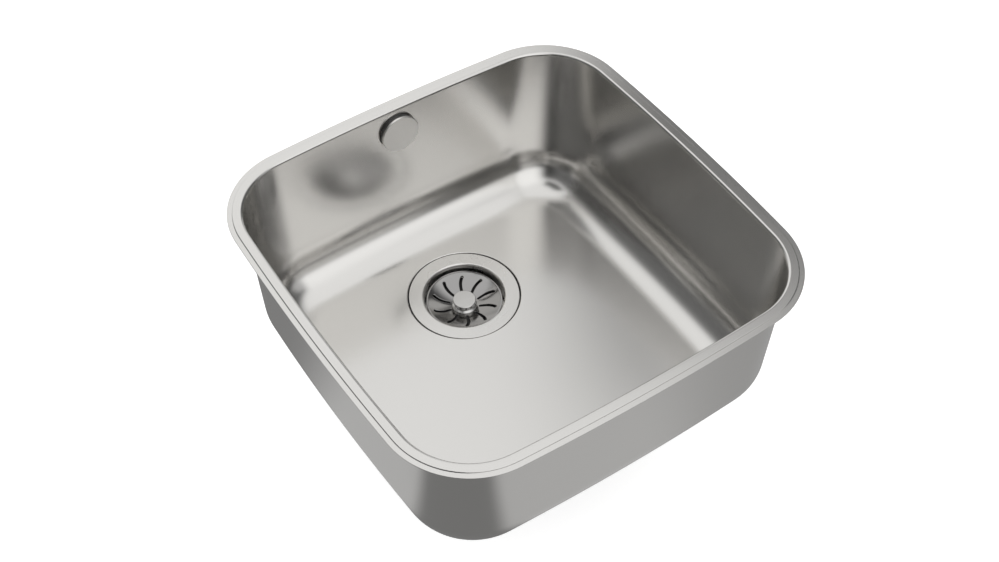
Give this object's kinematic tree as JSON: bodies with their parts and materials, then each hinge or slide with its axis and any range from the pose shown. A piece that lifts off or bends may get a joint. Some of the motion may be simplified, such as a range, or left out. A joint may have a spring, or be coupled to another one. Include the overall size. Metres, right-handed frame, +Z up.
{
  "type": "undermount kitchen sink",
  "caption": "Square undermount kitchen sink: drawn stainless bowl with a stepped flange, basket strainer waste and wall overflow with hose.",
  "frame": {"origin": "centre of the bowl's opening, on the top face of the flange", "axes": "+Z up out of the bowl, square to the flange; +Y towards the wall with the overflow; X along that wall"},
  "size_m": [0.43, 0.4503, 0.256],
  "materials": {
    "bowl_steel": "satin stainless sheet",
    "waste_steel": "satin stainless pressing",
    "strainer_steel": "bright stainless pressing",
    "knob_steel": "turned and polished, satin top face",
    "cap_steel": "satin stainless disc with a polished rim",
    "rosette_plastic": "dark moulded plastic",
    "seal_rubber": "black rubber",
    "pad_rubber": "dark grey damping pad",
    "fitting_plastic": "white moulded polypropylene",
    "hose_plastic": "white ribbed polypropylene hose"
  },
  "bodies": {
    "root": {"bowl": "bowl_steel", "sound_pad": "pad_rubber", "waste_flange": "waste_steel", "flange_gasket": "seal_rubber", "base_gasket": "seal_rubber", "waste_body": "fitting_plastic", "clamp_bolt": "waste_steel", "bolt_washer": "seal_rubber", "overflow_rosette": "rosette_plastic", "overflow_gasket": "seal_rubber", "overflow_elbow": "fitting_plastic", "hose_washer_upper": "seal_rubber", "hose_washer_lower": "seal_rubber", "hose_nut_upper": "fitting_plastic", "hose_nut_lower": "fitting_plastic", "overflow_hose": "hose_plastic"},
    "strainer_stem": {"strainer_stem": "waste_steel", "stem_ring": "seal_rubber"},
    "strainer": {"strainer_dish": "strainer_steel", "strainer_knob": "knob_steel", "strainer_seal": "seal_rubber", "seal_retainer": "fitting_plastic"},
    "overflow_cap": {"overflow_cap": "cap_steel", "cap_stud": "waste_steel"}
  },
  "joints": [
    {"name": "strainer_lift", "type": "slide", "parent": "root", "child": "strainer_stem", "axis": [0, 0, 1], "range_m": [0, 0.24]},
    {"name": "strainer_turn", "type": "hinge", "parent": "strainer_stem", "child": "strainer", "pos_m": [0, 0.0825, -0.184], "axis": [0, 0, 1], "continuous": true},
    {"name": "overflow_cap_pull", "type": "slide", "parent": "root", "child": "overflow_cap", "axis": [0, -0.9992, 0.0393], "range_m": [0, 0.035]}
  ]
}
